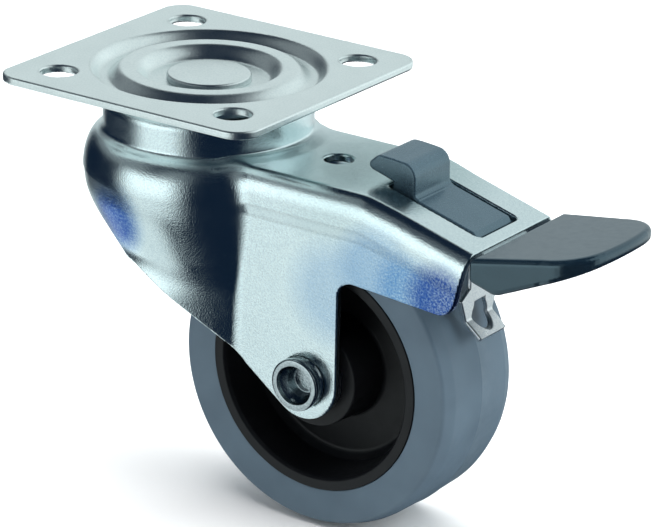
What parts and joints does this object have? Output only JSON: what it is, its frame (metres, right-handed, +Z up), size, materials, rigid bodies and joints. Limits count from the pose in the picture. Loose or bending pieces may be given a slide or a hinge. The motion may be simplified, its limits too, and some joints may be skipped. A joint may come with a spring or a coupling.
{
  "type": "swivel castor",
  "caption": "Swivel castor with a square bolt-on plate, pressed fork, rubber-tyred wheel and a foot brake with pedal and release lever.",
  "frame": {"origin": "on the swivel axis, at the upper mounting face of the top plate, centre of the four bolt holes", "axes": "+Z up out of the plate's mounting face; +X the way the wheel trails, towards the pedal; Y along the axle"},
  "size_m": [0.1492, 0.072, 0.101],
  "materials": {
    "plate_zinc": "bright blue-passivated zinc on pressed steel, satin",
    "fork_zinc": "bright blue-passivated zinc on pressed steel",
    "bright_steel": "bright zinc-plated steel",
    "ball_steel": "polished bearing steel",
    "tyre_rubber": "blue-grey rubber, non-marking",
    "wheel_plastic": "dark grey moulded plastic",
    "cage_plastic": "natural plastic of the bearing cage",
    "pedal_plastic": "slate blue-grey satin plastic"
  },
  "bodies": {
    "plate": {"top_plate": "plate_zinc", "king_pin": "plate_zinc", "lower_race": "bright_steel", "race_washer": "bright_steel"},
    "swivel": {"fork": "fork_zinc", "upper_balls": "ball_steel", "lower_balls": "ball_steel", "axle_rivet": "fork_zinc", "bearing_sleeve": "bright_steel", "pin_plates": "bright_steel", "rocker_pin": "bright_steel"},
    "wheel": {"wheel_centre": "wheel_plastic", "tyre": "tyre_rubber", "bearing_rollers": "ball_steel", "roller_cage": "cage_plastic", "hub_washer_near": "bright_steel", "hub_washer_far": "bright_steel"},
    "brake": {"brake_rocker": "bright_steel", "brake_tongue": "bright_steel", "tongue_rivets": "bright_steel", "pedal": "pedal_plastic", "release_lever": "pedal_plastic", "spring_washers": "bright_steel"}
  },
  "joints": [
    {"name": "swivel_turn", "type": "hinge", "parent": "plate", "child": "swivel", "pos_m": [0, 0, 0], "axis": [0, 0, 1], "continuous": true},
    {"name": "wheel_spin", "type": "hinge", "parent": "swivel", "child": "wheel", "pos_m": [0.041, 0, -0.0635], "axis": [0, 1, 0], "continuous": true},
    {"name": "brake_rock", "type": "hinge", "parent": "swivel", "child": "brake", "pos_m": [0.072, 0, -0.0274], "axis": [0, 1, 0], "range_deg": [0, 6.8]}
  ]
}
